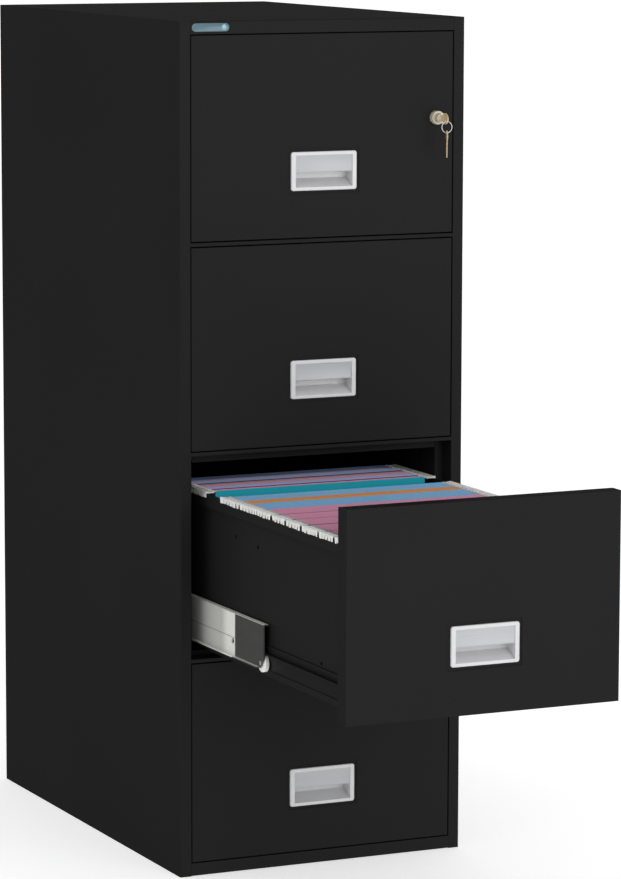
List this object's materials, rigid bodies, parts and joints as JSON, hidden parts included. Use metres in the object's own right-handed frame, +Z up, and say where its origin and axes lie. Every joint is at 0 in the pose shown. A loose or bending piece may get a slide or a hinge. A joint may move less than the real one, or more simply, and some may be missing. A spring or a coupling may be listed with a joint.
{
  "type": "fireproof filing cabinet",
  "caption": "Tall fire-resistant filing cabinet with insulated drawers on roller slides, push-in lock and one drawer open with hanging folders.",
  "frame": {"origin": "centre of the case's base, on the floor", "axes": "+X to the cabinet's right as seen from its front, -Y out of the front, +Z up"},
  "size_m": [0.502, 1.3615, 1.372],
  "materials": {
    "case_paint": "fine leather-grain black powder coat, satin",
    "head_paint": "black paint over an insulated plug",
    "inner_paint": "black enamel, satin",
    "insulation": "cast gypsum-based fire insulation, chalky",
    "zinc": "bright zinc-plated steel",
    "nylon": "white nylon",
    "handle_chrome": "satin silver cast handle",
    "label_metal": "satin silver plate",
    "lock_nickel": "satin nickel",
    "key_brass": "brass, worn bright",
    "ring_steel": "bright steel wire",
    "badge": "teal-blue gloss, blank",
    "folder_blue": "blue card",
    "folder_pink": "pink card",
    "folder_teal": "teal and orange card"
  },
  "bodies": {
    "cabinet": {"right_side_panel": "case_paint", "left_side_panel": "case_paint", "top_panel": "case_paint", "base_pan": "case_paint", "rear_panel": "case_paint", "front_frame": "case_paint", "insulation": "insulation", "compartment_liners": "inner_paint", "badge_plate": "badge", "case_slide_rails": "zinc"},
    "lock_bar": {"lock_bar": "zinc"},
    "lock_plunger": {"lock_plunger": "lock_nickel"},
    "lock_core": {"lock_core": "lock_nickel", "key": "key_brass"},
    "key_ring": {"key_ring": "ring_steel"},
    "spare_key": {"spare_key": "key_brass"},
    "drawer_1": {"drawer_1_front_panel": "case_paint", "drawer_1_insulated_head": "head_paint", "drawer_1_tray": "inner_paint", "drawer_1_runners": "inner_paint", "drawer_1_handle": "handle_chrome", "drawer_1_label_plate": "label_metal", "lock_housing": "lock_nickel"},
    "slide_members_1": {"drawer_1_slide_members": "zinc"},
    "front_rollers_1": {"drawer_1_front_rollers": "nylon"},
    "rear_rollers_1": {"drawer_1_rear_rollers": "nylon"},
    "case_rollers_1": {"drawer_1_case_rollers": "nylon"},
    "drawer_2": {"drawer_2_front_panel": "case_paint", "drawer_2_insulated_head": "head_paint", "drawer_2_tray": "inner_paint", "drawer_2_runners": "inner_paint", "drawer_2_handle": "handle_chrome", "drawer_2_label_plate": "label_metal"},
    "slide_members_2": {"drawer_2_slide_members": "zinc"},
    "front_rollers_2": {"drawer_2_front_rollers": "nylon"},
    "rear_rollers_2": {"drawer_2_rear_rollers": "nylon"},
    "case_rollers_2": {"drawer_2_case_rollers": "nylon"},
    "drawer_3": {"drawer_3_front_panel": "case_paint", "drawer_3_insulated_head": "head_paint", "drawer_3_tray": "inner_paint", "drawer_3_runners": "inner_paint", "drawer_3_handle": "handle_chrome", "drawer_3_label_plate": "label_metal", "folders_blue": "folder_blue", "folders_pink": "folder_pink", "folders_teal_orange": "folder_teal"},
    "slide_members_3": {"drawer_3_slide_members": "zinc"},
    "front_rollers_3": {"drawer_3_front_rollers": "nylon"},
    "rear_rollers_3": {"drawer_3_rear_rollers": "nylon"},
    "case_rollers_3": {"drawer_3_case_rollers": "nylon"},
    "drawer_4": {"drawer_4_front_panel": "case_paint", "drawer_4_insulated_head": "head_paint", "drawer_4_tray": "inner_paint", "drawer_4_runners": "inner_paint", "drawer_4_handle": "handle_chrome", "drawer_4_label_plate": "label_metal"},
    "slide_members_4": {"drawer_4_slide_members": "zinc"},
    "front_rollers_4": {"drawer_4_front_rollers": "nylon"},
    "rear_rollers_4": {"drawer_4_rear_rollers": "nylon"},
    "case_rollers_4": {"drawer_4_case_rollers": "nylon"}
  },
  "joints": [
    {"name": "drawer_1_slide", "type": "slide", "parent": "cabinet", "child": "drawer_1", "axis": [0, -1, 0], "range_m": [0, 0.64]},
    {"name": "member_1_slide", "type": "slide", "parent": "cabinet", "child": "slide_members_1", "axis": [0, -1, 0], "range_m": [0, 0.32]},
    {"name": "front_roller_1_spin", "type": "hinge", "parent": "slide_members_1", "child": "front_rollers_1", "pos_m": [0, -0.324, 1.055], "axis": [1, 0, 0], "continuous": true},
    {"name": "rear_roller_1_spin", "type": "hinge", "parent": "slide_members_1", "child": "rear_rollers_1", "pos_m": [0, 0.318, 1.10425], "axis": [1, 0, 0], "continuous": true},
    {"name": "case_roller_1_spin", "type": "hinge", "parent": "cabinet", "child": "case_rollers_1", "pos_m": [0, -0.325, 1.04], "axis": [1, 0, 0], "continuous": true},
    {"name": "drawer_2_slide", "type": "slide", "parent": "cabinet", "child": "drawer_2", "axis": [0, -1, 0], "range_m": [0, 0.64]},
    {"name": "member_2_slide", "type": "slide", "parent": "cabinet", "child": "slide_members_2", "axis": [0, -1, 0], "range_m": [0, 0.32]},
    {"name": "front_roller_2_spin", "type": "hinge", "parent": "slide_members_2", "child": "front_rollers_2", "pos_m": [0, -0.324, 0.721], "axis": [1, 0, 0], "continuous": true},
    {"name": "rear_roller_2_spin", "type": "hinge", "parent": "slide_members_2", "child": "rear_rollers_2", "pos_m": [0, 0.318, 0.77025], "axis": [1, 0, 0], "continuous": true},
    {"name": "case_roller_2_spin", "type": "hinge", "parent": "cabinet", "child": "case_rollers_2", "pos_m": [0, -0.325, 0.706], "axis": [1, 0, 0], "continuous": true},
    {"name": "drawer_3_slide", "type": "slide", "parent": "cabinet", "child": "drawer_3", "axis": [0, -1, 0], "range_m": [-0.571, 0.069]},
    {"name": "member_3_slide", "type": "slide", "parent": "cabinet", "child": "slide_members_3", "axis": [0, -1, 0], "range_m": [-0.2855, 0.0345]},
    {"name": "front_roller_3_spin", "type": "hinge", "parent": "slide_members_3", "child": "front_rollers_3", "pos_m": [0, -0.6095, 0.387], "axis": [1, 0, 0], "continuous": true},
    {"name": "rear_roller_3_spin", "type": "hinge", "parent": "slide_members_3", "child": "rear_rollers_3", "pos_m": [0, 0.0325, 0.43625], "axis": [1, 0, 0], "continuous": true},
    {"name": "case_roller_3_spin", "type": "hinge", "parent": "cabinet", "child": "case_rollers_3", "pos_m": [0, -0.325, 0.372], "axis": [1, 0, 0], "continuous": true},
    {"name": "drawer_4_slide", "type": "slide", "parent": "cabinet", "child": "drawer_4", "axis": [0, -1, 0], "range_m": [0, 0.64]},
    {"name": "member_4_slide", "type": "slide", "parent": "cabinet", "child": "slide_members_4", "axis": [0, -1, 0], "range_m": [0, 0.32]},
    {"name": "front_roller_4_spin", "type": "hinge", "parent": "slide_members_4", "child": "front_rollers_4", "pos_m": [0, -0.324, 0.053], "axis": [1, 0, 0], "continuous": true},
    {"name": "rear_roller_4_spin", "type": "hinge", "parent": "slide_members_4", "child": "rear_rollers_4", "pos_m": [0, 0.318, 0.10225], "axis": [1, 0, 0], "continuous": true},
    {"name": "case_roller_4_spin", "type": "hinge", "parent": "cabinet", "child": "case_rollers_4", "pos_m": [0, -0.325, 0.038], "axis": [1, 0, 0], "continuous": true},
    {"name": "lock_bar_lift", "type": "slide", "parent": "cabinet", "child": "lock_bar", "axis": [0, 0, 1], "range_m": [0, 0.008]},
    {"name": "lock_push", "type": "slide", "parent": "drawer_1", "child": "lock_plunger", "axis": [0, 1, 0], "range_m": [0, 0.008]},
    {"name": "key_turn", "type": "hinge", "parent": "lock_plunger", "child": "lock_core", "pos_m": [0.1995, -0.404, 1.211], "axis": [0, 1, 0], "range_deg": [0, 90]},
    {"name": "ring_swing", "type": "hinge", "parent": "lock_core", "child": "key_ring", "pos_m": [0.1995, -0.434, 1.2066], "axis": [1, 0, 0], "range_deg": [-60, 15]},
    {"name": "spare_key_swing", "type": "hinge", "parent": "key_ring", "child": "spare_key", "pos_m": [0.1995, -0.434, 1.1886], "axis": [1, 0, 0], "range_deg": [-60, 10]}
  ],
  "couplings": [
    {"joint": "member_1_slide", "follows": "drawer_1_slide", "ratio": 0.5},
    {"joint": "front_roller_1_spin", "follows": "drawer_1_slide", "rad_per_m": 34.483},
    {"joint": "case_roller_1_spin", "follows": "drawer_1_slide", "rad_per_m": 74.627},
    {"joint": "rear_roller_1_spin", "follows": "drawer_1_slide", "rad_per_m": -34.722},
    {"joint": "member_2_slide", "follows": "drawer_2_slide", "ratio": 0.5},
    {"joint": "front_roller_2_spin", "follows": "drawer_2_slide", "rad_per_m": 34.483},
    {"joint": "case_roller_2_spin", "follows": "drawer_2_slide", "rad_per_m": 74.627},
    {"joint": "rear_roller_2_spin", "follows": "drawer_2_slide", "rad_per_m": -34.722},
    {"joint": "member_3_slide", "follows": "drawer_3_slide", "ratio": 0.5},
    {"joint": "front_roller_3_spin", "follows": "drawer_3_slide", "rad_per_m": 34.483},
    {"joint": "case_roller_3_spin", "follows": "drawer_3_slide", "rad_per_m": 74.627},
    {"joint": "rear_roller_3_spin", "follows": "drawer_3_slide", "rad_per_m": -34.722},
    {"joint": "member_4_slide", "follows": "drawer_4_slide", "ratio": 0.5},
    {"joint": "front_roller_4_spin", "follows": "drawer_4_slide", "rad_per_m": 34.483},
    {"joint": "case_roller_4_spin", "follows": "drawer_4_slide", "rad_per_m": 74.627},
    {"joint": "rear_roller_4_spin", "follows": "drawer_4_slide", "rad_per_m": -34.722},
    {"joint": "lock_bar_lift", "follows": "lock_push", "ratio": 1}
  ]
}
